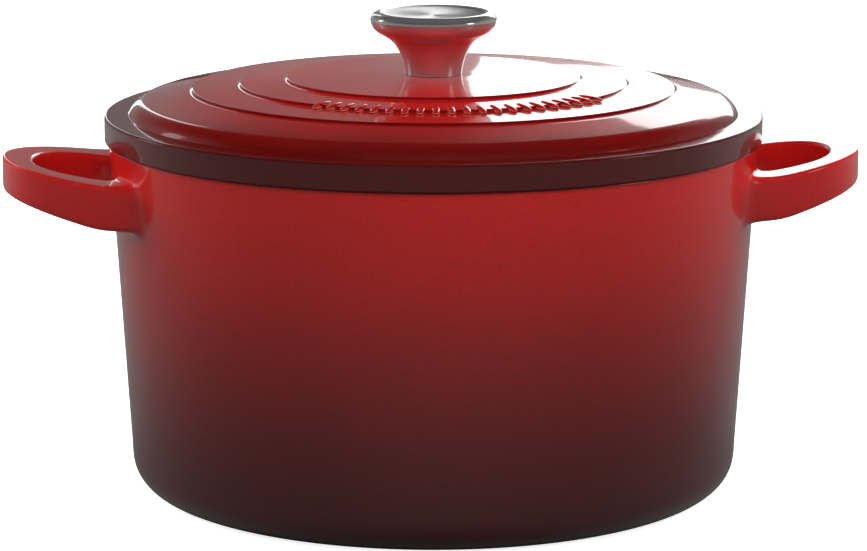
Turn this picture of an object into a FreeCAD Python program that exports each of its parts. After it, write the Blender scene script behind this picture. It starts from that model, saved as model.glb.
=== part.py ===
"""Enamelled cast iron dutch oven: a deep round pot of about five litres with two loop handles, and a stepped
lid with a steel knob. Millimetres, +Z up. The origin is the middle of the flat ring that the pot stands on,
and the handles lie along X."""

import FreeCAD, Part
import math
import os

import Sketcher

doc = FreeCAD.newDocument("dutch_oven")

# ---------------------------------------------------------------- driving dimensions
SIZES = {
    # pot
    "seat_height": 135.0,  # the rim's flat top, where the lid rests
    "rim_radius": 124.0,  # outside of the wall at the rim
    "base_radius": 115.7,  # outside of the wall, run on down to the base plane
    "base_corner": 13.5,  # rounding between wall and base
    "wall": 3.5,
    "rim_edge": 0.8,  # rounding on the outer edge of the rim
    "floor_height": 5.0,
    "floor_corner": 15.0,
    "foot_inner": 94.0,  # the pot stands on the flat ring outside this radius
    "foot_recess": 0.8,
    # side handles, each a flat loop
    "loop_centre": 105.0,  # centre of the outer ellipse, from the pot's axis
    "loop_reach": 59.5,
    "loop_half_width": 46.0,
    "grip_centre": 124.0,  # centre of the finger hole's ellipse
    "grip_reach": 29.0,
    "grip_half_width": 28.0,
    "loop_top_root": 124.3,  # height of the top face at the rim radius
    "loop_top_tip": 130.4,  # and at the tip
    "loop_under_root": 107.2,
    "loop_under_tip": 118.0,
    "loop_edge": 2.4,  # rounding along the loop's edges
    "root_fillet": 5.0,  # hollow where the loop grows out of the wall
    # lid
    "lid_radius": 125.6,
    "ledge_height": 145.0,  # the flat ledge round the lid's edge
    "ledge_inner": 116.4,
    "shoulder_radius": 110.2,
    "shoulder_height": 150.3,
    "shoulder_curve": 8.2,  # radius of the lid's shoulder in section
    "shoulder_inset": 2.0,  # how far the hollow beneath stays inside the shoulder
    "ring_outer": 92.3,  # middle of each step's slope
    "ring_middle": 74.1,
    "ring_inner": 56.3,
    "ring_slope": 2.0,  # how far each step's slope spreads
    "ring_drop": 1.25,  # how far each step falls
    "terrace_fall": 0.7,  # how far each terrace falls from its inner to its outer edge
    "crown_height": 159.2,  # the flat at the middle, under the knob
    "crown_radius": 13.0,
    "lid_thickness": 3.7,
    "lid_edge": 1.0,
    "seat_width": 5.6,  # width of the flat band that rests on the rim
    "lug_depth": 2.6,
    "lug_width": 4.0,
    "lug_clearance": 0.9,
    "gap": 0.05,  # between faces that move on each other
    # knob, its heights taken from its foot
    "knob_foot": 159.6,  # underside of the insert and the collar, which sit on the gasket
    "gasket_radius": 9.4,
    "foot_radius": 10.9,
    "neck_curve": 26.0,  # radius of the neck's hollow in section
    "neck_radius": 17.0,
    "neck_height": 13.4,
    "bowl_radius": 22.0,
    "bowl_height": 16.6,
    "bowl_curve": 6.3,
    "knob_radius": 24.2,
    "seam_height": 20.5,  # the widest part, where the cap meets the stem
    "crest_radius": 20.6,
    "crest_height": 23.6,
    "crest_curve": 5.4,
    "dish_radius": 19.2,
    "dish_edge_height": 23.0,
    "dish_floor_height": 22.1,
    "sheet": 1.2,
    "cap_flat_margin": 1.0,  # how far the dish's flat middle runs past the insert
    "insert_radius": 5.4,
    "insert_depth": 13.0,  # depth of the threaded bore
    "collar_height": 2.4,
    # screw and washers
    "screw_radius": 3.0,
    "screw_grip": 9.0,  # length of thread above the lid
    "head_radius": 6.0,
    "head_height": 3.2,
    "slot_width": 1.4,
    "slot_depth": 1.6,
    "washer_radius": 8.5,
    "washer_thickness": 1.2,
    "spring_outer": 5.4,
    "spring_thickness": 1.5,
    "spring_split": 1.0,
    "lid_bore": 3.4,
    "washer_play": 0.3,  # between the screw and the flat washer
    "spring_play": 0.2,  # between the screw and the spring washer
    "thread_chamfer": 0.8,
    "head_chamfer": 1.0,
    "lug_bury": 1.5,  # how far below the ledge's top a lug ends inside the lid
}
LUGS = 3
LUG_SWEEP = 34.0  # degrees that each lug spans
FAR = 400.0  # taller than the whole pot
OVER = 20.0  # how far the cavity's tool stands above the rim
PAST = 1.0  # how far a cutting tool runs past the face that it cuts
WEDGE_HALF = 60.0  # half the width of a handle's wedge, wider than its loop
LOOP_OUT = 20.0  # a loop's own edges all reach at least this far outside the rim
LOOP_EDGE_SPAN = 10.0  # and they span at least this much in Y
ROOT_BAND = 8.0  # the roots' edges lie this close above and below the loop
ON_WALL = 0.02  # an edge no further than this from the wall lies on it
SHORTEST_EDGE = 0.1
CREST_SHEET = 1.2  # the cap is a fifth thicker than its sheet under the crest
# the stem's inner face lies about one sheet in, square to the slope, as (across, up) shares of the sheet
BOWL_INSET = (0.6, 0.8)
NECK_INSET = (0.8, 0.6)


class Size:
    """A length that knows both its value and the sheet formula that gives it."""

    def __init__(self, value, text):
        self.value = value
        self.text = text

    @staticmethod
    def of(x):
        return x if isinstance(x, Size) else Size(float(x), f"{float(x)}")

    def __add__(self, other):
        o = Size.of(other)
        return Size(self.value + o.value, f"({self.text} + {o.text})")

    def __sub__(self, other):
        o = Size.of(other)
        return Size(self.value - o.value, f"({self.text} - {o.text})")

    def __mul__(self, other):
        o = Size.of(other)
        return Size(self.value * o.value, f"({self.text} * {o.text})")

    def __truediv__(self, other):
        o = Size.of(other)
        return Size(self.value / o.value, f"({self.text} / {o.text})")

    __radd__ = __add__
    __rmul__ = __mul__

    def __neg__(self):
        return Size(-self.value, f"(-1 * {self.text})")


def make_sheet():
    sheet = doc.addObject("Spreadsheet::Sheet", "dims")
    for row, (name, value) in enumerate(SIZES.items(), start=1):
        sheet.set(f"A{row}", name)
        sheet.set(f"B{row}", str(value))
        sheet.setAlias(f"B{row}", name)
    doc.recompute()
    return {name: Size(value, f"dims.{name}") for name, value in SIZES.items()}


D = make_sheet()


def bind(thing, prop, size):
    """Gives a property its value and ties it to the sheet."""
    setattr(thing, prop, size.value)
    thing.setExpression(prop, size.text)


# ---------------------------------------------------------------- sketches and bodies
def new_body(label):
    body = doc.addObject("PartDesign::Body", label)
    body.Label = label
    return body


def origin_plane(body, role):
    return next(f for f in body.Origin.OriginFeatures if f.Role == role)


class Outline:
    """A closed outline of lines and arcs in a sketch, each corner tied to the sheet.

    A corner is (across, up). An arc runs to its corner with a radius, bulging left or right of the way it
    runs. In the XZ plane, across is the distance from the axis and up is the height."""

    def __init__(self, start):
        self.corners = [tuple(Size.of(c) for c in start)]
        self.arcs = {}

    def line(self, *corners):
        for corner in corners:
            self.corners.append(tuple(Size.of(c) for c in corner))
        return self

    def arc(self, corner, radius, bulge):
        self.arcs[len(self.corners) - 1] = (Size.of(radius), bulge)
        self.corners.append(tuple(Size.of(c) for c in corner))
        return self

    def _edge(self, i, a, b):
        if i not in self.arcs:
            return Part.LineSegment(a, b)
        radius, bulge = self.arcs[i]
        chord = b - a
        middle = (a + b) * 0.5
        left = FreeCAD.Vector(-chord.y, chord.x, 0).normalize()
        side = 1 if bulge == "left" else -1
        rise = math.sqrt(radius.value**2 - (chord.Length / 2) ** 2)
        centre = middle - left * side * rise
        top = centre + left * side * radius.value
        return Part.Arc(a, top, b)

    def draw(self, body, role="XZ_Plane"):
        sketch = body.newObject("Sketcher::SketchObject", "outline")
        sketch.AttachmentSupport = [(origin_plane(body, role), "")]
        sketch.MapMode = "FlatFace"
        points = [FreeCAD.Vector(c[0].value, c[1].value, 0) for c in self.corners]
        count = len(points)
        for i in range(count):
            sketch.addGeometry(self._edge(i, points[i], points[(i + 1) % count]), False)
        for i in range(count):
            end = self._end(sketch, i, points)
            start = self._start(sketch, i + 1, points)
            sketch.addConstraint(Sketcher.Constraint("Coincident", *end, *start))
        for i, corner in enumerate(self.corners):
            geo, pos = self._start(sketch, i, points)
            for kind, size, axis in (("DistanceX", corner[0], -2), ("DistanceY", corner[1], -1)):
                if abs(size.value) < 1e-9:
                    sketch.addConstraint(Sketcher.Constraint("PointOnObject", geo, pos, axis))
                    continue
                made = sketch.addConstraint(Sketcher.Constraint(kind, -1, 1, geo, pos, size.value))
                sketch.renameConstraint(made, f"{kind[-1].lower()}_{i}")
                sketch.setExpression(f"Constraints.{kind[-1].lower()}_{i}", size.text)
        for i, (radius, _) in self.arcs.items():
            made = sketch.addConstraint(Sketcher.Constraint("Radius", i, radius.value))
            sketch.renameConstraint(made, f"radius_{i}")
            sketch.setExpression(f"Constraints.radius_{i}", radius.text)
        doc.recompute()
        return sketch

    def _near(self, sketch, i, point):
        """(geometry, end) of edge i that lies at point: a clockwise arc is stored the other way round."""
        i %= len(self.corners)
        first = sketch.getPoint(i, 1)
        return (i, 1) if (first - point).Length < (sketch.getPoint(i, 2) - point).Length else (i, 2)

    def _start(self, sketch, i, points):
        return self._near(sketch, i, points[i % len(points)])

    def _end(self, sketch, i, points):
        return self._near(sketch, i, points[(i + 1) % len(points)])


def revolve(body, outline, kind="PartDesign::Revolution"):
    sketch = outline.draw(body)
    turned = body.newObject(kind, "turned")
    turned.Profile = sketch
    turned.ReferenceAxis = (sketch, ["V_Axis"])
    turned.Angle = 360
    sketch.Visibility = False
    doc.recompute()
    return turned


def circles_at(shape, corners):
    """Names of the full-circle edges that lie at the given (radius, height) corners."""
    found = []
    for number, edge in enumerate(shape.Edges, start=1):
        curve = edge.Curve
        if not isinstance(curve, Part.Circle):
            continue
        for radius, height in corners:
            if abs(curve.Radius - radius.value) < 1e-4 and abs(curve.Center.z - height.value) < 1e-4:
                found.append(f"Edge{number}")
    return found


def round_off(body, corners, radius, label):
    """A fillet on the circles at the given corners."""
    base = body.Tip
    names = circles_at(base.Shape, corners)
    if len(names) < len(corners):
        raise RuntimeError(f"{body.Label} {label}: found {len(names)} of {len(corners)} corners")
    fillet = body.newObject("PartDesign::Fillet", label)
    fillet.Base = (base, names)
    bind(fillet, "Radius", radius)
    doc.recompute()
    return fillet


def part_object(kind, name, **sizes):
    made = doc.addObject(kind, name)
    for prop, size in sizes.items():
        bind(made, prop, Size.of(size))
    return made


def cut(name, base, tool):
    made = doc.addObject("Part::Cut", name)
    made.Base = base
    made.Tool = tool
    doc.recompute()
    return made


def common(name, base, tool):
    made = doc.addObject("Part::Common", name)
    made.Base = base
    made.Tool = tool
    doc.recompute()
    return made


def fuse(name, *shapes):
    made = doc.addObject("Part::MultiFuse", name)
    made.Shapes = list(shapes)
    doc.recompute()
    return made


def fillet_edges(name, base, picks):
    """A Part::Fillet, where an edge takes the radius of the first (test, radius) in picks that it passes."""
    made = doc.addObject("Part::Fillet", name)
    made.Base = base
    edges = []
    for number, edge in enumerate(base.Shape.Edges, start=1):
        for test, radius in picks:
            if test(edge):
                edges.append((number, radius, radius))
                break
    made.Edges = edges
    doc.recompute()
    return made


# ---------------------------------------------------------------- pot
def wall_radius(height):
    """Radius of the pot's tapering outside at a height."""
    slope = (D["rim_radius"] - D["base_radius"]) / D["seat_height"]
    return D["base_radius"] + slope * height


def make_envelope():
    """The pot's outside as one plain solid with no cavity, recessed beneath inside its foot."""
    body = new_body("pot_envelope")
    outline = Outline((0, D["foot_recess"])).line(
        (D["foot_inner"] - D["foot_recess"], D["foot_recess"]),
        (D["foot_inner"], 0),
        (D["base_radius"], 0),
        (D["rim_radius"], D["seat_height"]),
        (0, D["seat_height"]),
    )
    revolve(body, outline)
    round_off(body, [(D["base_radius"], Size.of(0))], D["base_corner"], "base_corner")
    round_off(body, [(D["rim_radius"], D["seat_height"])], D["rim_edge"], "rim_edge")
    return body


def make_cavity():
    body = new_body("pot_cavity")
    low = D["floor_height"]
    over = D["seat_height"] + OVER
    outline = Outline((0, low)).line(
        (wall_radius(low) - D["wall"], low),
        (wall_radius(over) - D["wall"], over),
        (0, over),
    )
    revolve(body, outline)
    round_off(body, [(wall_radius(low) - D["wall"], low)], D["floor_corner"], "floor_corner")
    return body


def ellipse_block(name, centre, reach, half_width):
    """An upright block whose plan is an ellipse centred on the X axis."""
    ellipse = part_object("Part::Ellipse", f"{name}_plan", MajorRadius=reach, MinorRadius=half_width)
    ellipse.setExpression("Placement.Base.x", centre.text)
    block = doc.addObject("Part::Extrusion", name)
    block.Base = ellipse
    block.Dir = FreeCAD.Vector(0, 0, 1)
    bind(block, "LengthFwd", D["seat_height"])
    block.Solid = True
    doc.recompute()
    return block


def make_loop(name, turn):
    """One side handle, turned about the pot's axis. Its root stops inside the wall's thickness."""
    ring = cut(
        f"{name}_ring",
        ellipse_block(f"{name}_outer", D["loop_centre"], D["loop_reach"], D["loop_half_width"]),
        ellipse_block(f"{name}_hole", D["grip_centre"], D["grip_reach"], D["grip_half_width"]),
    )
    # the wedge's own Y runs outwards, and its height changes along it
    root = D["loop_centre"]
    tip = D["loop_centre"] + D["loop_reach"]
    run = tip - D["rim_radius"]
    back = root - D["rim_radius"]
    top_slope = (D["loop_top_tip"] - D["loop_top_root"]) / run
    under_slope = (D["loop_under_tip"] - D["loop_under_root"]) / run
    wedge = part_object(
        "Part::Wedge", f"{name}_wedge",
        Xmin=-WEDGE_HALF, Xmax=WEDGE_HALF, X2min=-WEDGE_HALF, X2max=WEDGE_HALF,
        Ymin=root, Ymax=tip + PAST,
        Zmin=D["loop_under_root"] + under_slope * back,
        Zmax=D["loop_top_root"] + top_slope * back,
        Z2min=D["loop_under_tip"], Z2max=D["loop_top_tip"],
    )
    wedge.Placement.Rotation = FreeCAD.Rotation(FreeCAD.Vector(0, 0, 1), -90)
    plug = part_object(
        "Part::Cylinder", f"{name}_plug",
        Radius=wall_radius(D["loop_under_root"]) - D["wall"] / 2, Height=FAR,
    )
    doc.recompute()
    bar = cut(f"{name}_bar", common(f"{name}_slab", ring, wedge), plug)

    def along_loop(edge):
        box = edge.BoundBox
        return box.XMax > D["rim_radius"].value + LOOP_OUT and box.YLength > LOOP_EDGE_SPAN

    loop = fillet_edges(name, bar, [(along_loop, D["loop_edge"].value)])
    loop.Placement.Rotation = FreeCAD.Rotation(FreeCAD.Vector(0, 0, 1), turn)
    doc.recompute()
    return loop


def make_pot():
    whole = fuse("pot_whole", make_envelope(), make_loop("loop_right", 0), make_loop("loop_left", 180))

    lowest = D["loop_under_root"].value - ROOT_BAND
    highest = D["loop_top_root"].value + ROOT_BAND

    def at_root(edge):
        box = edge.BoundBox
        if box.ZMin < lowest or box.ZMax > highest:
            return False
        for at in (0.1, 0.5, 0.9):
            spot = edge.valueAt(edge.FirstParameter + at * (edge.LastParameter - edge.FirstParameter))
            if abs(math.hypot(spot.x, spot.y) - wall_radius(Size.of(spot.z)).value) > ON_WALL:
                return False
        return box.DiagonalLength > SHORTEST_EDGE

    rooted = fillet_edges("pot_rooted", whole, [(at_root, D["root_fillet"].value)])
    return cut("pot", rooted, make_cavity())


# ---------------------------------------------------------------- lid
def lid_stations():
    """Corners of the lid's top face from the crown out to the foot of the last step, as (radius, height)."""
    half = D["ring_slope"] / 2
    height = D["crown_height"]
    corners = [(D["crown_radius"], height)]
    for ring in ("ring_inner", "ring_middle", "ring_outer"):
        height = height - D["terrace_fall"]
        corners.append((D[ring] - half, height))
        height = height - D["ring_drop"]
        corners.append((D[ring] + half, height))
    return corners


def make_lid():
    body = new_body("lid")
    seat = D["seat_height"] + D["gap"]
    thick = D["lid_thickness"]
    stations = lid_stations()
    under = [(r, h - thick) for r, h in (stations[0], stations[2], stations[4], stations[6])]
    seat_inner = D["lid_radius"] - D["seat_width"]
    outline = Outline((D["lid_bore"], D["crown_height"]))
    outline.line(*stations)
    outline.line((D["shoulder_radius"], D["shoulder_height"]))
    outline.arc((D["ledge_inner"], D["ledge_height"]), D["shoulder_curve"], "left")
    outline.line(
        (D["lid_radius"], D["ledge_height"]),
        (D["lid_radius"], seat),
        (seat_inner, seat),
        (seat_inner, seat + thick),
        (D["shoulder_radius"] - D["shoulder_inset"], D["shoulder_height"] - thick),
    )
    outline.line(*reversed(under))
    outline.line((D["lid_bore"], D["crown_height"] - thick))
    revolve(body, outline)
    edges = [(D["lid_radius"], D["ledge_height"]), (D["lid_radius"], seat)]
    round_off(body, edges, D["lid_edge"], "lid_edge")
    add_lugs(body, seat)
    return body


def add_lugs(body, seat):
    """Three lugs under the lid that keep it centred in the pot."""
    outer = wall_radius(D["seat_height"]) - D["wall"] - D["lug_clearance"]
    inner = outer - D["lug_width"]
    low = D["seat_height"] - D["lug_depth"]
    high = D["ledge_height"] - D["lug_bury"]
    outline = Outline((inner, low)).line((outer, low), (outer, high), (inner, high))
    sketch = outline.draw(body)
    lug = body.newObject("PartDesign::Revolution", "lug")
    lug.Profile = sketch
    lug.ReferenceAxis = (sketch, ["V_Axis"])
    lug.Angle = LUG_SWEEP
    lug.Midplane = True
    doc.recompute()
    pattern = body.newObject("PartDesign::PolarPattern", "lugs")
    pattern.Originals = [lug]
    pattern.Axis = (sketch, ["V_Axis"])
    pattern.Angle = 360
    pattern.Occurrences = LUGS
    body.Tip = pattern
    doc.recompute()


# ---------------------------------------------------------------- knob
def make_knob_stem():
    body = new_body("knob_stem")
    foot = D["knob_foot"]
    sheet = D["sheet"]
    skirt = D["crown_height"] + D["gap"]  # the shell's foot reaches down round the gasket
    outline = Outline((D["foot_radius"], skirt)).line((D["foot_radius"], foot))
    outline.arc((D["neck_radius"], foot + D["neck_height"]), D["neck_curve"], "left")
    outline.line((D["bowl_radius"], foot + D["bowl_height"]))
    outline.arc((D["knob_radius"], foot + D["seam_height"]), D["bowl_curve"], "right")
    outline.line((D["knob_radius"] - sheet, foot + D["seam_height"]))
    across, up = BOWL_INSET
    bowl = (D["bowl_radius"] - sheet * across, foot + D["bowl_height"] + sheet * up)
    outline.arc(bowl, D["bowl_curve"] - sheet, "left")
    across, up = NECK_INSET
    outline.line((D["neck_radius"] - sheet * across, foot + D["neck_height"] + sheet * up))
    outline.arc((D["foot_radius"] - sheet, foot + D["collar_height"]), D["neck_curve"] + sheet, "right")
    outline.line((D["foot_radius"] - sheet, skirt))
    revolve(body, outline)
    return body


def make_knob_cap():
    body = new_body("knob_cap")
    foot = D["knob_foot"]
    sheet = D["sheet"]
    floor = foot + D["dish_floor_height"]
    flat = D["insert_radius"] + D["cap_flat_margin"]
    edge = foot + D["dish_edge_height"]
    outline = Outline((D["knob_radius"], foot + D["seam_height"]))
    outline.arc((D["crest_radius"], foot + D["crest_height"]), D["crest_curve"], "right")
    outline.line((D["dish_radius"], edge), (flat, floor), (0, floor), (0, floor - sheet))
    outline.line((flat, floor - sheet), (D["dish_radius"], edge - sheet))
    outline.line((D["crest_radius"], foot + D["crest_height"] - sheet * CREST_SHEET))
    outline.line((D["knob_radius"] - sheet, foot + D["seam_height"]))
    revolve(body, outline)
    return body


def make_knob_insert():
    body = new_body("knob_insert")
    foot = D["knob_foot"]
    bore = D["screw_radius"] + D["gap"]
    top = foot + D["dish_floor_height"] - D["sheet"]
    deep = foot + D["insert_depth"]
    outline = Outline((bore, foot)).line(
        (D["insert_radius"], foot), (D["insert_radius"], top), (0, top), (0, deep), (bore, deep)
    )
    revolve(body, outline)
    return body


def make_ring(label, inner, outer, low, high):
    body = new_body(label)
    revolve(body, Outline((inner, low)).line((outer, low), (outer, high), (inner, high)))
    return body


def make_knob_collar():
    foot = D["knob_foot"]
    return make_ring(
        "knob_collar", D["insert_radius"], D["foot_radius"] - D["sheet"], foot, foot + D["collar_height"]
    )


def make_knob_gasket():
    return make_ring(
        "knob_gasket", D["lid_bore"], D["gasket_radius"], D["crown_height"], D["knob_foot"] - D["gap"]
    )


# ---------------------------------------------------------------- screw and washers
def underside():
    return D["crown_height"] - D["lid_thickness"]


def make_washer():
    low = underside() - D["washer_thickness"]
    return make_ring("washer", D["screw_radius"] + D["washer_play"], D["washer_radius"], low, underside())


def make_spring_washer():
    high = underside() - D["washer_thickness"]
    low = high - D["spring_thickness"]
    body = make_ring("spring_washer", D["screw_radius"] + D["spring_play"], D["spring_outer"], low, high)
    half = D["spring_split"] / 2
    reach = D["spring_outer"] + PAST
    split = Outline((D["screw_radius"], -half)).line((reach, -half), (reach, half), (D["screw_radius"], half))
    pocket(body, split, "split", None)
    return body


def pocket(body, outline, label, depth):
    """A pocket from the XY plane: through everything, or with its floor at the height given by depth."""
    before = body.Tip.Shape.Volume
    sketch = outline.draw(body, "XY_Plane")
    hole = body.newObject("PartDesign::Pocket", label)
    hole.Profile = sketch
    hole.Reversed = True
    if depth is None:
        hole.Type = "ThroughAll"
        hole.Midplane = True
    else:
        bind(hole, "Length", depth)
    doc.recompute()
    if not body.Tip.Shape.isValid():
        raise RuntimeError(f"{body.Label}: {label} is invalid")
    print(f"{body.Label} {label}: {before:.1f} -> {hole.Shape.Volume:.1f} mm3")
    return hole


def make_screw():
    body = new_body("screw")
    head_top = underside() - D["washer_thickness"] - D["spring_thickness"]
    head_low = head_top - D["head_height"]
    tip = D["crown_height"] + D["screw_grip"]
    outline = Outline((0, head_low)).line(
        (D["head_radius"] - D["head_chamfer"], head_low),
        (D["head_radius"], head_low + D["head_chamfer"]),
        (D["head_radius"], head_top),
        (D["screw_radius"], head_top),
        (D["screw_radius"], tip - D["thread_chamfer"]),
        (D["screw_radius"] - D["thread_chamfer"], tip),
        (0, tip),
    )
    revolve(body, outline)
    half = D["slot_width"] / 2
    reach = D["head_radius"] + PAST
    slot = Outline((-reach, -half)).line((reach, -half), (reach, half), (-reach, half))
    pocket(body, slot, "slot", head_low + D["slot_depth"])
    return body


# ---------------------------------------------------------------- build and export
NODES = [
    make_pot(),
    make_lid(),
    make_knob_stem(),
    make_knob_cap(),
    make_knob_insert(),
    make_knob_collar(),
    make_knob_gasket(),
    make_washer(),
    make_spring_washer(),
    make_screw(),
]
doc.recompute()

for thing in doc.Objects:
    if "Invalid" in thing.State or "Error" in thing.State:
        raise RuntimeError(f"{thing.Label}: {thing.State}")
for node in NODES:
    if node.Shape.isNull() or not node.Shape.isValid():
        raise RuntimeError(f"{node.Label}: no valid shape")

os.makedirs("parts", exist_ok=True)
for node in NODES:
    node.Shape.exportStep(f"parts/{node.Label}.step")
    box = node.Shape.BoundBox
    print(
        f"{node.Label:14s} solids {len(node.Shape.Solids)} volume {node.Shape.Volume:11.1f} "
        f"x {box.XMin:.1f}..{box.XMax:.1f} y {box.YMin:.1f}..{box.YMax:.1f} z {box.ZMin:.2f}..{box.ZMax:.2f}"
    )
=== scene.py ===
# %% [markdown]
# # A round enamelled dutch oven
# The pot and its lid are iron castings with glass fused on them, and the lid carries a polished steel knob.
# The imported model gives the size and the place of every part. The shapes that show are modelled here again,
# with finer curves, and put in the same place. All lengths below are in millimetres until they reach
# Blender.

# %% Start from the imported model
import math

import bmesh
import bpy
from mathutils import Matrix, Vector


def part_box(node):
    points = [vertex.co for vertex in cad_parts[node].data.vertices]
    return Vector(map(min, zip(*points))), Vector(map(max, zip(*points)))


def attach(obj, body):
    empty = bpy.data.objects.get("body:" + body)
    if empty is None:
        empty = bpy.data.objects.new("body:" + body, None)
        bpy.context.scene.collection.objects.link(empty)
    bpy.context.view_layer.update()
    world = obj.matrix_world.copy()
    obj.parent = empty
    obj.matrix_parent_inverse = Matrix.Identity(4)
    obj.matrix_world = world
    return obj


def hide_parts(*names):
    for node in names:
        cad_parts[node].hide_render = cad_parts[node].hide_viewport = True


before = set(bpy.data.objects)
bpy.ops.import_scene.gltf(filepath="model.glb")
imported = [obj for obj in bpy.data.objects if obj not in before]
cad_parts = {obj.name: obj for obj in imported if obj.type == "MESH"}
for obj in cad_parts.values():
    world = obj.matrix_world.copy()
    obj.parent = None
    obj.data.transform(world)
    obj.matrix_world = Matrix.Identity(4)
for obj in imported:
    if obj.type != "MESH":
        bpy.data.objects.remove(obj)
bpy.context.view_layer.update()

MM = 0.001
LID_LOW, LID_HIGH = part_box("lid")
print("lid box", [round(v, 4) for v in (*LID_LOW, *LID_HIGH)])


# %% [markdown]
# ## Turned pieces
# A casting or a spun shell is round about one axis, so its section is drawn once and spun. The section
# could be a curve with a screw modifier, but a chain of extruded points keeps every corner where the
# drawing says, and each corner is then rounded by its own amount.

# %% Helpers that select by place
def leave_edit_mode():
    if bpy.context.mode != "OBJECT":
        bpy.ops.object.mode_set(mode="OBJECT")
    bpy.ops.object.select_all(action="DESELECT")


def pick(test, kind="verts"):
    """Selects, in edit mode, only what passes the test."""
    mesh = bmesh.from_edit_mesh(bpy.context.object.data)
    for group in (mesh.verts, mesh.edges, mesh.faces):
        for item in group:
            item.select = False
    count = 0
    for item in getattr(mesh, kind):
        if test(item):
            item.select_set(True)
            count += 1
    mesh.select_flush_mode()
    bmesh.update_edit_mesh(bpy.context.object.data)
    return count


def single_point(name, at):
    """A new mesh object in edit mode that holds one vertex."""
    leave_edit_mode()
    bpy.ops.mesh.primitive_plane_add(size=0.01, location=(0, 0, 0))
    piece = bpy.context.object
    piece.name = name
    piece.data.name = name
    bpy.ops.object.mode_set(mode="EDIT")
    bpy.ops.mesh.select_mode(type="VERT")
    bpy.ops.mesh.select_all(action="SELECT")
    bpy.ops.mesh.merge(type="CENTER")
    bpy.ops.transform.translate(value=at)
    return piece


# %% [markdown]
# A section needs three moves: its corners are joined by extruding one point after another, each corner is
# bevelled, and the outline is spun. They are kept apart, because a lug uses the same moves over a short
# turn.

# %% Draw a section, round its corners and spin it
def draw_section(name, corners, closed):
    """Corners are (radius, height, rounding) in millimetres, and rounding is its reach along each side."""
    places = [Vector((r * MM, 0, z * MM)) for r, z, _ in corners]
    piece = single_point(name, places[0])
    for before, after in zip(places, places[1:]):
        bpy.ops.mesh.extrude_region_move(TRANSFORM_OT_translate={"value": after - before})
    if closed:
        ends = (places[0], places[-1])
        pick(lambda v: any((v.co - end).length < 1e-6 for end in ends))
        bpy.ops.mesh.edge_face_add()
    return piece, places


def round_corners(corners, places, segments):
    for place, corner in zip(places, corners):
        if corner[2] <= 0:
            continue
        pick(lambda v, p=place: (v.co - p).length < 1e-6)
        bpy.ops.mesh.bevel(offset=corner[2] * MM, segments=segments, affect="VERTICES", profile=0.5)


def spin_section(steps, turn=360.0, start=0.0):
    """Spins the section round Z. A full turn is closed by merging its seam and its poles."""
    bpy.ops.mesh.select_all(action="SELECT")
    if start:
        bpy.ops.transform.rotate(value=-math.radians(start), orient_axis="Z", center_override=(0, 0, 0))
        bpy.ops.mesh.select_all(action="SELECT")
    bpy.ops.mesh.spin(steps=steps, angle=math.radians(turn), center=(0, 0, 0), axis=(0, 0, 1))
    bpy.ops.mesh.select_all(action="SELECT")
    bpy.ops.mesh.remove_doubles(threshold=1e-6)
    bpy.ops.mesh.select_all(action="SELECT")
    bpy.ops.mesh.normals_make_consistent(inside=False)


def turned(name, corners, steps=256, segments=6, closed=True):
    """A solid of revolution with rounded corners, shaded so that its flats stay flat."""
    piece, places = draw_section(name, corners, closed)
    round_corners(corners, places, segments)
    spin_section(steps)
    leave_edit_mode()
    piece.select_set(True)
    bpy.context.view_layer.objects.active = piece
    bpy.ops.object.shade_smooth()
    even_normals(piece)
    print(name, len(piece.data.polygons), "faces")
    return piece


def even_normals(piece):
    bpy.context.view_layer.objects.active = piece
    bpy.ops.object.modifier_add(type="WEIGHTED_NORMAL")
    bpy.context.object.modifiers[-1].keep_sharp = True
    bpy.ops.object.modifier_apply(modifier=bpy.context.object.modifiers[-1].name)


# %% [markdown]
# ## The lid
# The lid is a shallow dome that steps down in three rings to a steep shoulder and a flat ledge. Three lugs
# beneath keep it centred in the pot.

# %% Turn the lid
CROWN = LID_HIGH[2] / MM
SEAT = 135.05
LID_R = LID_HIGH[0] / MM
STEP_HALF = 0.35
STEP_FACE = 1.05
HOLLOW_RUN = 2.4
HOLLOW_DROP = 0.2
TERRACE_FALL = 0.7
RINGS = (56.3, 74.1, 92.3)
LID_WALL = 3.7
SEAT_INNER = 120.0  # inside of the flat band that rests on the rim


def lid_top():
    """The top face from the knob's seat out to the foot of the last step."""
    height = CROWN
    corners = [(13.0, height, 2.0)]
    for ring in RINGS:
        height -= TERRACE_FALL
        corners.append((ring - STEP_HALF, height, 0.3))
        height -= STEP_FACE
        corners.append((ring + STEP_HALF, height, 0.9))
        height -= HOLLOW_DROP
        corners.append((ring + HOLLOW_RUN, height, 1.2))
    return corners


def lid_underside():
    stations = lid_top()
    return [(r, z - LID_WALL, 2.5) for r, z, _ in reversed(stations[::3])]


lid_section = (
    [(3.4, CROWN, 0.4)]
    + lid_top()
    + [
        (114.8, 149.45, 4.6),
        (116.4, 145.0, 0.9),
        (LID_R, 145.0, 1.1),
        (LID_R, SEAT, 0.8),
        (SEAT_INNER, SEAT, 0.5),
        (SEAT_INNER - 0.3, SEAT + LID_WALL, 2.0),
        (106.6, 146.9, 3.0),
    ]
    + lid_underside()
    + [(3.4, CROWN - LID_WALL, 0.4)]
)
lid = turned("lid_casting", lid_section, steps=320, segments=8)


# %% [markdown]
# A lug is a short stretch of a ring under the lid. It could be cut from a whole ring, but spinning its
# section through a small angle makes only what is needed. One is spun at each third of a turn, and all join
# the lid.

# %% Add the three lugs
LUGS = 3
LUG_INNER, LUG_OUTER = 115.6, 119.6
LUG_LOW, LUG_HIGH = 132.4, 143.4
LUG_SWEEP = 34.0


def close_open_end():
    """A short spin leaves the end that it started from open, and one face closes it."""
    if pick(lambda edge: edge.is_boundary, "edges"):
        bpy.ops.mesh.edge_face_add()


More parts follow.
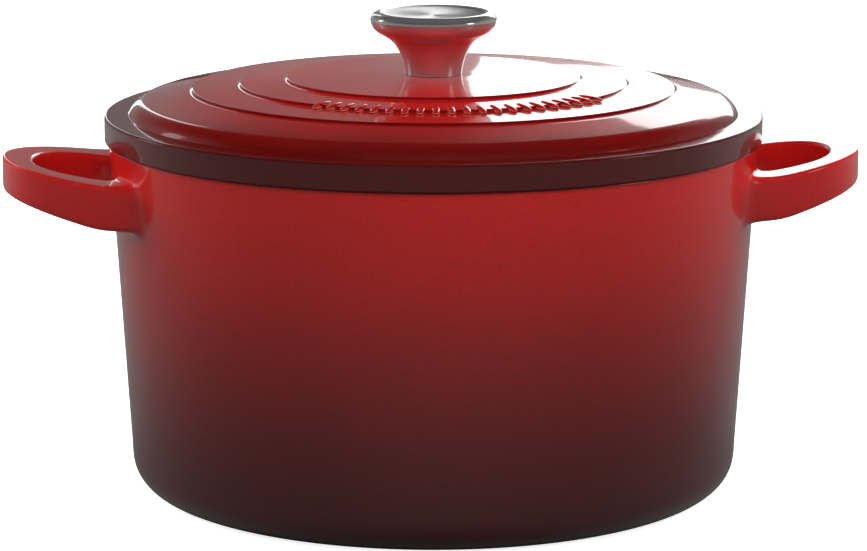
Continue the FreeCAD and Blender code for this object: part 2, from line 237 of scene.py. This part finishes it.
def make_lug(number):
    """The spin runs clockwise seen from above, so a lug starts half its sweep ahead of its middle."""
    corners = [
        (LUG_INNER, LUG_LOW, 0.9),
        (LUG_OUTER, LUG_LOW, 0.9),
        (LUG_OUTER, LUG_HIGH, 0),
        (LUG_INNER, LUG_HIGH, 0),
    ]
    piece, places = draw_section(f"lid_lug_{number}", corners, closed=True)
    round_corners(corners, places, 4)
    spin_section(16, turn=LUG_SWEEP, start=number * 360.0 / LUGS + LUG_SWEEP / 2)
    close_open_end()
    bpy.ops.mesh.select_all(action="SELECT")
    bpy.ops.mesh.normals_make_consistent(inside=False)
    leave_edit_mode()
    piece.select_set(True)
    bpy.ops.object.shade_smooth_by_angle(angle=math.radians(40))
    return piece


lugs = [make_lug(n) for n in range(LUGS)]
leave_edit_mode()
for lug in lugs:
    lug.select_set(True)
lid.select_set(True)
bpy.context.view_layer.objects.active = lid
bpy.ops.object.join()
print("lid with lugs", len(lid.data.polygons), "faces")


# %% [markdown]
# A run of plain raised ovals decorates the front of the middle terrace. Each is a sphere squashed to an
# oval and sunk part way into the casting, which reads as part of it and needs no cutting.

# %% Raise the row of ovals
OVAL_COUNT = 21
OVAL_PITCH = 4.4
OVAL_MIDDLE = -4.5
OVAL_RADIUS = 72.4
OVAL_HEIGHT = 156.25
OVAL_HALVES = (1.55, 5.5, 0.95)  # half its width, length and thickness
OVAL_TILT = -4.5


def make_oval(turn):
    leave_edit_mode()
    bpy.ops.mesh.primitive_uv_sphere_add(segments=24, ring_count=14, radius=MM, location=(0, 0, 0))
    oval = bpy.context.object
    oval.name = "lid_oval"
    bpy.ops.object.mode_set(mode="EDIT")
    bpy.ops.mesh.select_all(action="SELECT")
    bpy.ops.transform.resize(value=OVAL_HALVES)
    bpy.ops.transform.rotate(value=math.radians(OVAL_TILT), orient_axis="X", center_override=(0, 0, 0))
    bpy.ops.transform.translate(value=(0, -OVAL_RADIUS * MM, OVAL_HEIGHT * MM))
    bpy.ops.transform.rotate(value=math.radians(turn), orient_axis="Z", center_override=(0, 0, 0))
    leave_edit_mode()
    oval.select_set(True)
    bpy.ops.object.shade_smooth()
    return oval


ovals = [make_oval(OVAL_MIDDLE + (n - (OVAL_COUNT - 1) / 2) * OVAL_PITCH) for n in range(OVAL_COUNT)]
leave_edit_mode()
for oval in ovals:
    oval.select_set(True)
lid.select_set(True)
bpy.context.view_layer.objects.active = lid
bpy.ops.object.join()
print("lid with ovals", len(lid.data.polygons), "faces")


# %% [markdown]
# ## The pot
# The loop handles are cast in one with the wall and grow out of it with a soft hollow. Two solids cut into
# each other would leave a hard line there, so the wall starts as a coarse cage. Four small patches of it
# are extruded along the handles' line until they meet, and a subdivision surface then rounds the whole
# casting.

# %% Draw the pot's cage
STEPS = 96
RIM_R, BASE_R, RIM_Z = 124.0, 115.7, 135.0
POT_WALL = 3.5
GRIP_ROWS = (107.6, 113.4, 119.2, 124.9)


def outside(z):
    """Radius of the tapering wall at a height, a little large to make up for the rounding of the cage."""
    return BASE_R + (RIM_R - BASE_R) * z / RIM_Z + 0.08


def corner_arc(turn):
    """A point of the round corner between base and wall, by its direction from the corner's centre.

    It swells a little to make up for the rounding of the cage, but never below the floor."""
    reach = 13.5
    centre = outside(reach) - reach / math.cos(math.atan((RIM_R - BASE_R) / RIM_Z))
    swell = reach * 1.010
    height = max(0.0, reach + swell * math.sin(math.radians(turn)))
    return centre + swell * math.cos(math.radians(turn)), height


def pot_cage_section():
    """(radius, height) down the inside, across the base and up the outside."""
    inside = [(outside(z) - POT_WALL, z) for z in (134.3, 131.0, 110.0, 80.0, 50.0, 30.0, 20.5)]
    floor = [(112.4, 13.6), (109.9, 8.9), (104.8, 5.9), (99.0, 5.05), (92.0, 5.0), (55.0, 5.0), (0.0, 5.0)]
    under = [
        (0.0, 0.85), (55.0, 0.85), (89.0, 0.85), (92.4, 0.8),
        (93.6, 0.5), (94.2, 0.05), (95.2, 0.0), (98.5, 0.0),
    ]
    corner = [corner_arc(turn) for turn in (-90, -76, -62, -48, -34, -20, -6)]
    heights = (16.5, 24.0, 45.0, 66.0, 86.0, 99.0, 104.0, *GRIP_ROWS, 128.0, 131.2, 134.1)
    wall = [(outside(z), z) for z in heights]
    lip = RIM_R - POT_WALL
    rim = [(RIM_R - 0.25, 134.85), (RIM_R - 0.9, 135.0), (lip + 0.9, 135.0), (lip + 0.3, 134.85)]
    return inside + floor, under + corner + wall + rim


inner_chain, outer_chain = pot_cage_section()
pot, _ = draw_section(
    "pot_casting",
    [(r, z, 0) for r, z in inner_chain[::-1] + outer_chain[::-1]],
    closed=False,
)
spin_section(STEPS)
print("pot cage", len(bmesh.from_edit_mesh(pot.data).faces), "faces")


# %% [markdown]
# ### The loops
# Each handle is a flat bar bent into a loop. A bent curve with a bevel would give a round bar and a seam at
# the wall, so two legs are extruded step by step from the wall and welded where they meet at the tip.

# %% Grow the handles out of the cage
HUB_X = 122.0
LOOP_CENTRE = 105.0
LOOP_REACH = 59.6
LOOP_HALF = 46.4
LOOP_POWER = 2.2  # an oval has 2, and more makes it squarer
HOLE_POWER = 2.45
HOLE_REACH = 31.0
HOLE_HALF = 27.8
LOOP_STEPS = (84, 73, 62, 50, 38, 25, 12, 0)
INSET_ACROSS = 0.17
INSET_UP = 0.15


def outer_reach(angle):
    """Distance from the hub to the loop's outer edge, along a direction in plan (degrees off X)."""
    c, s = math.cos(math.radians(angle)), math.sin(math.radians(angle))
    shift = HUB_X - LOOP_CENTRE
    near_by, far_off = 0.0, 2 * LOOP_REACH
    for _ in range(40):
        reach = (near_by + far_off) / 2
        out = ((shift + reach * c) / LOOP_REACH) ** LOOP_POWER + (reach * s / LOOP_HALF) ** LOOP_POWER
        near_by, far_off = (reach, far_off) if out < 1 else (near_by, reach)
    return reach


def inner_reach(angle):
    """The same to the finger hole's edge."""
    c, s = math.cos(math.radians(angle)), math.sin(math.radians(angle))
    return ((c / HOLE_REACH) ** HOLE_POWER + (s / HOLE_HALF) ** HOLE_POWER) ** (-1 / HOLE_POWER)


def loop_top(x):
    return 124.4 + (x - RIM_R) * 0.150


def loop_under(x):
    return 107.0 + (x - RIM_R) * 0.268


def loop_place(angle, across, up, side_x, side_y):
    """Place of one cage point: across runs 0 to 1 from the finger hole outwards, up from under to top."""
    reach = inner_reach(angle) * (1 - across) + outer_reach(angle) * across
    x = HUB_X + reach * math.cos(math.radians(angle))
    y = reach * math.sin(math.radians(angle))
    z = loop_under(x) * (1 - up) + loop_top(x) * up
    return Vector((side_x * x, side_y * y, z)) * MM


def plan_angle(v):
    return math.degrees(math.atan2(abs(v.co.y), abs(v.co.x)))


def nearest(value, options):
    """Which of the options lies nearest to the value."""
    return min(range(len(options)), key=lambda i: abs(options[i] - value))


PATCH_ANGLES = (11.25, 15.0, 18.75, 22.5)
ACROSS = (0.0, INSET_ACROSS, 1 - INSET_ACROSS, 1.0)
UP = (0.0, INSET_UP, 1 - INSET_UP, 1.0)


def select_patch(side_x, side_y):
    def in_patch(face):
        middle = face.calc_center_median()
        if middle.x * side_x < 0 or middle.y * side_y < 0:
            return False
        if math.hypot(middle.x, middle.y) < (outside(100) - 1.5) * MM:
            return False
        turn = math.degrees(math.atan2(abs(middle.y), abs(middle.x)))
        return PATCH_ANGLES[0] < turn < PATCH_ANGLES[-1] and GRIP_ROWS[0] < middle.z / MM < GRIP_ROWS[-1]

    return pick(in_patch, "faces")


def grow_leg(side_x, side_y):
    found = select_patch(side_x, side_y)
    mesh = bmesh.from_edit_mesh(pot.data)
    grid = {}
    for v in mesh.verts:
        if v.select:
            grid[v.index] = (nearest(plan_angle(v), PATCH_ANGLES), nearest(v.co.z / MM, GRIP_ROWS))
    spots = {key: v_key for v_key, key in grid.items()}
    print("leg", side_x, side_y, "faces", found, "points", len(spots))
    for angle in LOOP_STEPS:
        mesh = bmesh.from_edit_mesh(pot.data)
        mesh.verts.ensure_lookup_table()
        before = {mesh.verts[i].co.copy().freeze(): key for key, i in spots.items()}
        bpy.ops.mesh.extrude_region_move(TRANSFORM_OT_translate={"value": (0, 0, 0)})
        mesh = bmesh.from_edit_mesh(pot.data)
        spots = {}
        for v in mesh.verts:
            if v.select:
                column, row = before[min(before, key=lambda p: (p - v.co).length)]
                v.co = loop_place(angle, ACROSS[column], UP[row], side_x, side_y)
                spots[(column, row)] = v
        bmesh.update_edit_mesh(pot.data)
        mesh.verts.index_update()
        spots = {key: v.index for key, v in spots.items()}
    bpy.ops.mesh.delete(type="FACE")


bpy.ops.mesh.select_mode(type="FACE")
for side_x in (1, -1):
    for side_y in (1, -1):
        grow_leg(side_x, side_y)
bpy.ops.mesh.select_mode(type="VERT")
bpy.ops.mesh.select_all(action="SELECT")
bpy.ops.mesh.remove_doubles(threshold=1e-5)
bpy.ops.mesh.select_all(action="SELECT")
bpy.ops.mesh.normals_make_consistent(inside=False)


# %% [markdown]
# Subdivision turns the coarse cage into a smooth casting. Rows that lie close together keep an edge crisp,
# and rows that lie far apart let it flow, as at the handles' roots.

# %% Round the whole casting
leave_edit_mode()
pot.select_set(True)
bpy.context.view_layer.objects.active = pot
bpy.ops.object.modifier_add(type="SUBSURF")
smooth = pot.modifiers[-1]
smooth.levels = 2
smooth.render_levels = 2
bpy.ops.object.modifier_apply(modifier=smooth.name)
bpy.ops.object.shade_smooth()
print("pot", len(pot.data.polygons), "faces")


# %% [markdown]
# ## The knob
# A spun shell flares from a narrow foot to its widest line, where a dished cap closes it. Both are thin
# sheet, polished bright.

# %% Turn the knob's two shells
FOOT_Z = 159.6


def curve_through(stations, segments=5):
    """Stations become corners rounded almost half way along their shorter side, so the line flows."""
    corners = []
    for i, (r, z) in enumerate(stations):
        if i in (0, len(stations) - 1):
            corners.append((r, z, 0.12))
            continue
        before = math.dist(stations[i - 1], (r, z))
        after = math.dist(stations[i + 1], (r, z))
        corners.append((r, z, 0.46 * min(before, after)))
    return corners


stem_line = [
    (10.85, -0.35), (10.9, 0.6), (11.25, 2.8), (12.0, 5.6), (13.3, 8.7), (15.3, 11.9),
    (18.4, 14.3), (21.7, 15.9), (23.5, 17.8), (24.15, 20.4),
]
stem_inside = [
    (22.95, 20.4), (22.3, 18.6), (20.9, 17.1), (17.6, 15.3), (14.4, 12.5), (12.0, 8.9),
    (10.8, 5.6), (9.95, 2.4), (9.65, -0.35),
]
stem = turned(
    "knob_stem_shell",
    [(r, FOOT_Z + z, b) for r, z, b in curve_through(stem_line) + curve_through(stem_inside)],
    steps=192,
    segments=5,
)
cap_line = [
    (24.15, 20.5), (24.15, 21.3), (23.6, 22.4), (22.6, 23.2), (21.2, 23.6), (20.0, 23.45),
    (18.2, 23.05), (14.0, 22.55), (8.0, 22.2), (0.0, 22.1),
]
cap_inside = [(0.0, 20.95), (9.0, 21.1), (17.0, 21.7), (21.0, 22.3), (22.6, 21.7), (23.0, 20.5)]
cap = turned(
    "knob_cap_shell",
    [(r, FOOT_Z + z, b) for r, z, b in curve_through(cap_line) + curve_through(cap_inside)],
    steps=192,
    segments=5,
)


# %% [markdown]
# ## Finishes
# Enamel is coloured glass over iron: a strong colour with a clear, hard gloss and a faint ripple. The red
# is sprayed darker towards the base and towards the lid's edge.

# %% [markdown]
# A finish starts as one Principled shader. These helpers add a node in one line and give a surface its
# ripple, because even the smoothest fired glass or spun steel shows a faint unevenness in what it mirrors.

# %% Helpers for finishes
def new_finish(name):
    finish = bpy.data.materials.new(name)
    finish.use_nodes = True
    return finish, finish.node_tree, finish.node_tree.nodes["Principled BSDF"]


def add(tree, kind, **values):
    node = tree.nodes.new(kind)
    for key, value in values.items():
        if hasattr(node, key):
            setattr(node, key, value)
        else:
            node.inputs[key.replace("_", " ")].default_value = value
    return node


def ripple(tree, shader, scale, strength, distance, normal="Normal"):
    """A soft unevenness of the surface."""
    place = add(tree, "ShaderNodeTexCoord")
    noise = add(tree, "ShaderNodeTexNoise", Scale=scale, Detail=2.0)
    bump = add(tree, "ShaderNodeBump", Strength=strength, Distance=distance)
    tree.links.new(place.outputs["Object"], noise.inputs["Vector"])
    tree.links.new(noise.outputs["Fac"], bump.inputs["Height"])
    tree.links.new(bump.outputs["Normal"], shader.inputs[normal])
    if "Coat Normal" in shader.inputs:
        tree.links.new(bump.outputs["Normal"], shader.inputs["Coat Normal"])


# %% [markdown]
# ### Red enamel
# The colour is sprayed on in a fade, so it could be painted by hand. A ramp along the height or the radius
# gives the same fade with no picture, and a slow noise keeps its edge from looking ruled.

# %% Red enamel
def red_enamel(name, stops, along, edges=(), gloss=0.05):
    """Red glass whose colour follows the height, or the distance from the axis.

    Along each of the edges, given by radius, the colour is dimmed in a narrow band. This is painted shade for
    the dark line of a ring step's steep face, and partly the glass drawing back from a sharp edge."""
    finish, tree, shader = new_finish(name)
    place = add(tree, "ShaderNodeTexCoord")
    split = add(tree, "ShaderNodeSeparateXYZ")
    tree.links.new(place.outputs["Object"], split.inputs[0])
    if along == "height":
        measure = split.outputs["Z"]
    else:
        flat = add(tree, "ShaderNodeCombineXYZ")
        tree.links.new(split.outputs["X"], flat.inputs["X"])
        tree.links.new(split.outputs["Y"], flat.inputs["Y"])
        length = add(tree, "ShaderNodeVectorMath", operation="LENGTH")
        tree.links.new(flat.outputs[0], length.inputs[0])
        measure = length.outputs["Value"]
    cloud = add(tree, "ShaderNodeTexNoise", Scale=34.0, Detail=3.0)
    tree.links.new(place.outputs["Object"], cloud.inputs["Vector"])
    drift = add(tree, "ShaderNodeMath", operation="MULTIPLY_ADD")
    drift.inputs[1].default_value = 0.010
    tree.links.new(cloud.outputs["Fac"], drift.inputs[0])
    tree.links.new(measure, drift.inputs[2])
    low, high = stops[0][0], stops[-1][0]
    span = add(tree, "ShaderNodeMapRange")
    span.inputs["From Min"].default_value = low * MM + 0.005
    span.inputs["From Max"].default_value = high * MM + 0.005
    tree.links.new(drift.outputs[0], span.inputs["Value"])
    ramp = add(tree, "ShaderNodeValToRGB")
    ramp.color_ramp.interpolation = "B_SPLINE" if len(stops) > 2 else "EASE"
    while len(ramp.color_ramp.elements) < len(stops):
        ramp.color_ramp.elements.new(0.5)
    for element, (at, colour) in zip(ramp.color_ramp.elements, stops):
        element.position = (at - low) / (high - low)
        element.color = (*colour, 1)
    tree.links.new(span.outputs["Result"], ramp.inputs["Fac"])
    speck = add(tree, "ShaderNodeTexNoise", Scale=1400.0, Detail=1.0)
    tree.links.new(place.outputs["Object"], speck.inputs["Vector"])
    speck_range = add(tree, "ShaderNodeMapRange")
    speck_range.inputs["From Min"].default_value = 0.35
    speck_range.inputs["From Max"].default_value = 0.75
    speck_range.inputs["To Min"].default_value = 0.88
    speck_range.inputs["To Max"].default_value = 1.12
    tree.links.new(speck.outputs["Fac"], speck_range.inputs["Value"])
    grain = add(tree, "ShaderNodeVectorMath", operation="SCALE")
    tree.links.new(ramp.outputs["Color"], grain.inputs[0])
    tree.links.new(speck_range.outputs["Result"], grain.inputs["Scale"])
    glass = grain.outputs[0]
    # Painted shade: the colour is cut to 0.30 within about a millimetre of each edge radius, standing in for
    # the dark line along a ring step
    for edge in edges:
        off = add(tree, "ShaderNodeMath", operation="SUBTRACT")
        tree.links.new(measure, off.inputs[0])
        off.inputs[1].default_value = edge * MM
        away = add(tree, "ShaderNodeMath", operation="ABSOLUTE")
        tree.links.new(off.outputs[0], away.inputs[0])
        ring_step_shade = add(tree, "ShaderNodeMapRange", interpolation_type="SMOOTHSTEP")
        ring_step_shade.inputs["From Min"].default_value = 0.1 * MM
        ring_step_shade.inputs["From Max"].default_value = 0.9 * MM
        ring_step_shade.inputs["To Min"].default_value = 0.30
        tree.links.new(away.outputs[0], ring_step_shade.inputs["Value"])
        ring_step_shaded = add(tree, "ShaderNodeVectorMath", operation="SCALE")
        tree.links.new(glass, ring_step_shaded.inputs[0])
        tree.links.new(ring_step_shade.outputs["Result"], ring_step_shaded.inputs["Scale"])
        glass = ring_step_shaded.outputs[0]
    tree.links.new(glass, shader.inputs["Base Color"])
    shader.inputs["Roughness"].default_value = 0.30
    shader.inputs["Specular IOR Level"].default_value = 0.25
    shader.inputs["Coat Weight"].default_value = 1.0
    shader.inputs["Coat Roughness"].default_value = gloss
    shader.inputs["Coat IOR"].default_value = 1.48
    ripple(tree, shader, 90.0, 0.06, 0.0006)
    return finish


# %% [markdown]
# ### Sand and black enamel
# The inside is a pale speckled glaze that shows when food browns. The bare bands carry a thin matt coat
# that keeps the iron from rusting and takes the wear of the lid.

# %% Sand and black enamel
def sand_enamel():
    finish, tree, shader = new_finish("sand_enamel")
    place = add(tree, "ShaderNodeTexCoord")
    speck = add(tree, "ShaderNodeTexNoise", Scale=700.0, Detail=2.0)
    tree.links.new(place.outputs["Object"], speck.inputs["Vector"])
    ramp = add(tree, "ShaderNodeValToRGB")
    ramp.color_ramp.elements[0].position = 0.3
    ramp.color_ramp.elements[0].color = (0.55, 0.46, 0.33, 1)
    ramp.color_ramp.elements[1].position = 0.6
    ramp.color_ramp.elements[1].color = (0.72, 0.63, 0.48, 1)
    tree.links.new(speck.outputs["Fac"], ramp.inputs["Fac"])
    tree.links.new(ramp.outputs["Color"], shader.inputs["Base Color"])
    shader.inputs["Roughness"].default_value = 0.28
    shader.inputs["Coat Weight"].default_value = 0.8
    shader.inputs["Coat Roughness"].default_value = 0.08
    ripple(tree, shader, 110.0, 0.08, 0.0006)
    return finish


def matt_black_enamel():
    finish, tree, shader = new_finish("matt_black_enamel")
    place = add(tree, "ShaderNodeTexCoord")
    speck = add(tree, "ShaderNodeTexNoise", Scale=900.0, Detail=3.0)
    tree.links.new(place.outputs["Object"], speck.inputs["Vector"])
    ramp = add(tree, "ShaderNodeValToRGB")
    ramp.color_ramp.elements[0].color = (0.012, 0.011, 0.010, 1)
    ramp.color_ramp.elements[1].color = (0.045, 0.040, 0.038, 1)
    tree.links.new(speck.outputs["Fac"], ramp.inputs["Fac"])
    tree.links.new(ramp.outputs["Color"], shader.inputs["Base Color"])
    shader.inputs["Roughness"].default_value = 0.62
    ripple(tree, shader, 600.0, 0.25, 0.0004)
    return finish


# %% [markdown]
# ### Steel and rubber
# The cap's rim is polished like a mirror, its dish is brushed in rings and the stem is spun, so each is the
# same steel with its own roughness. The fixings are duller, and the gasket is plain black rubber.

# %% Steel and rubber
def steel(name, colour, roughness, grain_scale, grain_depth, metal=1.0):
    finish, tree, shader = new_finish(name)
    place = add(tree, "ShaderNodeTexCoord")
    noise = add(tree, "ShaderNodeTexNoise", Scale=grain_scale, Detail=3.0)
    tree.links.new(place.outputs["Object"], noise.inputs["Vector"])
    span = add(tree, "ShaderNodeMapRange")
    span.inputs["To Min"].default_value = roughness * 0.75
    span.inputs["To Max"].default_value = roughness * 1.3
    tree.links.new(noise.outputs["Fac"], span.inputs["Value"])
    tree.links.new(span.outputs["Result"], shader.inputs["Roughness"])
    shader.inputs["Base Color"].default_value = (*colour, 1)
    shader.inputs["Metallic"].default_value = metal
    ripple(tree, shader, grain_scale * 1.5, grain_depth, 0.0002)
    return finish


def spun_steel(name, colour, roughness):
    """Steel brushed in rings, which stretches its highlights into wedges."""
    finish = steel(name, colour, roughness, 900.0, 0.06)
    tree = finish.node_tree
    shader = tree.nodes["Principled BSDF"]
    shader.inputs["Anisotropic"].default_value = 0.6
    rings = add(tree, "ShaderNodeTangent", direction_type="RADIAL", axis="Z")
    tree.links.new(rings.outputs["Tangent"], shader.inputs["Tangent"])
    return finish


def rubber():
    finish, tree, shader = new_finish("black_rubber")
    shader.inputs["Base Color"].default_value = (0.02, 0.02, 0.02, 1)
    shader.inputs["Roughness"].default_value = 0.7
    ripple(tree, shader, 800.0, 0.2, 0.0002)
    return finish


# %% [markdown]
# The stops of each fade are heights on the pot and distances from the axis on the lid, so the same recipe
# makes both reds.

# %% Mix the finishes
pot_red = red_enamel(
    "pot_red_enamel",
    [
        (0, (0.050, 0.010, 0.010)),
        (25, (0.075, 0.011, 0.011)),
        (50, (0.150, 0.012, 0.012)),
        (75, (0.280, 0.013, 0.012)),
        (100, (0.460, 0.013, 0.012)),
        (140, (0.700, 0.014, 0.012)),
    ],
    "height",
)
# The lid's fade also carries a band of painted shade at each ring step
lid_red_and_ring_shade = red_enamel(
    "lid_red_enamel_ring_shade",
    [
        (0, (0.66, 0.006, 0.005)),
        (60, (0.60, 0.006, 0.005)),
        (85, (0.50, 0.005, 0.004)),
        (104, (0.32, 0.003, 0.002)),
        (116, (0.14, 0.003, 0.002)),
        (128, (0.055, 0.006, 0.005)),
    ],
    "radius",
    edges=RINGS,
)
sand = sand_enamel()
black = matt_black_enamel()
bright_steel = steel("polished_steel", (0.82, 0.81, 0.80), 0.12, 300.0, 0.02, metal=0.88)
stem_steel = steel("stem_steel", (0.57, 0.60, 0.60), 0.20, 700.0, 0.06, metal=0.82)
brushed_steel = spun_steel("brushed_steel", (0.90, 0.90, 0.89), 0.34)
fixing_steel = steel("satin_steel", (0.60, 0.60, 0.60), 0.32, 500.0, 0.10)
gasket_rubber = rubber()


# %% [markdown]
# ## Putting the finishes on
# A casting is red outside, sand inside and matt black on its bare bands. Each zone could be a separate
# piece, but the enamel is one skin, so every face is given its finish by where it lies and which way it
# faces.

# %% Put the finishes on
DISH_R = 19.6


def coat(piece, finishes, choose):
    """Gives each face the finish that choose returns for its middle and its normal."""
    piece.data.materials.clear()
    for finish in finishes:
        piece.data.materials.append(finish)
    for face in piece.data.polygons:
        face.material_index = choose(face.center / MM, face.normal)


def pot_zone(place, normal):
    radius = math.hypot(place.x, place.y)
    if place.z > 134.7 and radius < RIM_R - 0.5:
        return 2
    if radius < outside(place.z) - POT_WALL * 0.5 and place.z > 4.5 and normal.z > -0.5:
        inward = -(normal.x * place.x + normal.y * place.y)
        return 1 if inward > 0 or normal.z > 0.5 else 0
    return 0


def lid_zone(place, normal):
    radius = math.hypot(place.x, place.y)
    if place.z < 136.6 and normal.z < -0.6 and radius > 119:
        return 2
    if radius < 120.3 and (normal.z < -0.05 or place.z < 143) and place.z < CROWN - 1.5:
        return 1 if place.z > 100 else 0
    return 0


def cap_zone(place, normal):
    return 1 if math.hypot(place.x, place.y) < DISH_R else 0


coat(pot, [pot_red, sand, black], pot_zone)
coat(lid, [lid_red_and_ring_shade, sand, black], lid_zone)
coat(cap, [bright_steel, brushed_steel], cap_zone)
coat(stem, [stem_steel], lambda place, normal: 0)


# %% [markdown]
# The small fixings inside the knob already have the right shape, so they only take a better finish.

# %% Refinish the fixings
def refinish(node, finish):
    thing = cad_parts[node]
    thing.data.materials.clear()
    thing.data.materials.append(finish)


for node in ("screw", "washer", "spring_washer", "knob_insert", "knob_collar"):
    refinish(node, fixing_steel)
refinish("knob_gasket", gasket_rubber)



# %% [markdown]
# There are three bodies: the pot stands still, the lid lifts off it, and the knob turns on the lid. Each
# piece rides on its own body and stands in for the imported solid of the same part.

# %% Tie each piece to what it moves with
for piece, body, slot, nodes in (
    (pot, "pot", "pot_enamel", ["pot"]),
    (lid, "lid", "lid_enamel", ["lid"]),
    (stem, "knob", "knob_steel", ["knob_stem"]),
    (cap, "knob", "knob_steel", ["knob_cap"]),
):
    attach(piece, body)
    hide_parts(*nodes)


# %% [markdown]
# ## Floor, light and camera
# Glossy glass shows its surroundings, so the studio is built for what the lid and the knob mirror: a wide
# panel behind on the right, a thin strip behind on the left and a small panel at each side. A soft light
# high in front brings out the colour.

# %% [markdown]
# The floor is white where it is looked at and grey where the pot mirrors it. A plain white floor would wash
# the lower wall out with its reflection.

# %% Lay the floor
leave_edit_mode()
bpy.ops.mesh.primitive_plane_add(size=24.0, location=(0, 0, 0))
floor = bpy.context.object
floor.name = "studio_floor"
floor_finish, floor_tree, floor_shader = new_finish("floor_white")
floor_shader.inputs["Base Color"].default_value = (0.18, 0.18, 0.18, 1)
floor_shader.inputs["Roughness"].default_value = 0.9
floor_shader.inputs["Specular IOR Level"].default_value = 0.0
pale = floor_tree.nodes.new("ShaderNodeBsdfDiffuse")
pale.inputs["Color"].default_value = (0.8, 0.8, 0.8, 1)
glow = floor_tree.nodes.new("ShaderNodeEmission")
glow.inputs["Strength"].default_value = 0.85
both = floor_tree.nodes.new("ShaderNodeAddShader")
seen = floor_tree.nodes.new("ShaderNodeLightPath")
choice = floor_tree.nodes.new("ShaderNodeMixShader")
floor_tree.links.new(pale.outputs[0], both.inputs[0])
floor_tree.links.new(glow.outputs[0], both.inputs[1])
floor_tree.links.new(seen.outputs["Is Camera Ray"], choice.inputs["Fac"])
floor_tree.links.new(floor_shader.outputs[0], choice.inputs[1])
floor_tree.links.new(both.outputs[0], choice.inputs[2])
floor_tree.links.new(choice.outputs[0], floor_tree.nodes["Material Output"].inputs["Surface"])
floor.data.materials.append(floor_finish)


# %% [markdown]
# A soft light is a large bright rectangle. The panels behind and at the sides show as the white shapes in
# the glass and the steel. The key and the two fills only bring out the colour, so mirrors don't show them.

# %% Hang the soft lights
def softbox(name, place, aim, width, height, radiance, mirrored=True):
    """A rectangular light facing aim. Radiance is how bright it looks in a mirror, where it shows in one."""
    bpy.ops.object.light_add(type="AREA", location=place)
    lamp = bpy.context.object
    lamp.name = name
    lamp.data.shape = "RECTANGLE"
    lamp.data.size = width
    lamp.data.size_y = height
    lamp.data.energy = radiance * width * height * math.pi
    lamp.visible_camera = False
    lamp.visible_glossy = mirrored
    lamp.rotation_euler = (Vector(aim) - Vector(place)).to_track_quat("-Z", "Y").to_euler()
    return lamp


softbox("back_right_panel", (0.875, 2.53, 0.84), (0.12, 0.0, 0.15), 1.25, 0.92, 2.8)
softbox("back_left_strip", (-0.297, 1.50, 0.46), (0.0, 0.0, 0.15), 0.085, 0.86, 2.6)
softbox("left_panel", (-1.50, 0.90, 0.70), (0.0, 0.0, 0.12), 0.32, 0.5, 1.5)
softbox("right_panel", (1.62, -0.66, 0.75), (0.0, 0.0, 0.12), 0.4, 0.6, 1.9)
softbox("front_key", (0.16, -1.70, 1.75), (0.0, 0.0, 0.10), 3.4, 1.2, 3.45, mirrored=False)
softbox("left_fill", (-1.65, 1.15, 0.80), (0.0, 0.0, 0.08), 1.3, 1.1, 10.5, mirrored=False)
softbox("right_fill", (1.75, 0.95, 0.80), (0.0, 0.0, 0.08), 1.3, 1.1, 9.5, mirrored=False)


# %% [markdown]
# The air round the set is grey near the horizon, nearly black half way up and dim grey overhead, as in a
# dark studio. The dark band keeps the lid's steep shoulder free of reflections, so its own deep red shows,
# and the dim ceiling keeps the knob's dish from going black when it is seen from above.

# %% Fill in the air
world = bpy.data.worlds.new("studio")
bpy.context.scene.world = world
world.use_nodes = True
sky = world.node_tree
air = sky.nodes["Background"]
aim = sky.nodes.new("ShaderNodeTexCoord")
rise = sky.nodes.new("ShaderNodeSeparateXYZ")
shade = sky.nodes.new("ShaderNodeValToRGB")
shade.color_ramp.interpolation = "EASE"
for element, (at, grey) in zip(shade.color_ramp.elements, ((0.0, 0.26), (0.62, 0.008))):
    element.position = at
    element.color = (grey, grey, grey, 1)
middle = shade.color_ramp.elements.new(0.27)
middle.color = (0.13, 0.13, 0.13, 1)
overhead = shade.color_ramp.elements.new(0.95)
overhead.color = (0.04, 0.04, 0.04, 1)
sky.links.new(aim.outputs["Generated"], rise.inputs[0])
sky.links.new(rise.outputs["Z"], shade.inputs["Fac"])
sky.links.new(shade.outputs["Color"], air.inputs["Color"])
white = sky.nodes.new("ShaderNodeBackground")
white.inputs["Color"].default_value = (1, 1, 1, 1)
ray = sky.nodes.new("ShaderNodeLightPath")
blend = sky.nodes.new("ShaderNodeMixShader")
sky.links.new(ray.outputs["Is Camera Ray"], blend.inputs["Fac"])
sky.links.new(air.outputs[0], blend.inputs[1])
sky.links.new(white.outputs[0], blend.inputs[2])
sky.links.new(blend.outputs[0], sky.nodes["World Output"].inputs["Surface"])



# %% [markdown]
# A long lens from well back keeps the upright sides almost parallel. The camera stands a little to the left
# of straight ahead and looks slightly down on the lid.

# %% Set the camera
CAMERA_TURN = math.radians(-5.0)
CAMERA_RISE = math.radians(11.32)
CAMERA_AWAY = 1.4448
LOOK_AT = Vector((0.0, 0.0, 0.0806))
back = Vector((
    math.sin(CAMERA_TURN) * math.cos(CAMERA_RISE),
    -math.cos(CAMERA_TURN) * math.cos(CAMERA_RISE),
    math.sin(CAMERA_RISE),
))
bpy.ops.object.camera_add(location=LOOK_AT + back * CAMERA_AWAY)
camera = bpy.context.object
camera.rotation_euler = back.to_track_quat("Z", "Y").to_euler()
camera.data.lens = 155.4
camera.data.sensor_width = 36.0
bpy.context.scene.camera = camera
bpy.context.scene.view_settings.view_transform = "Standard"
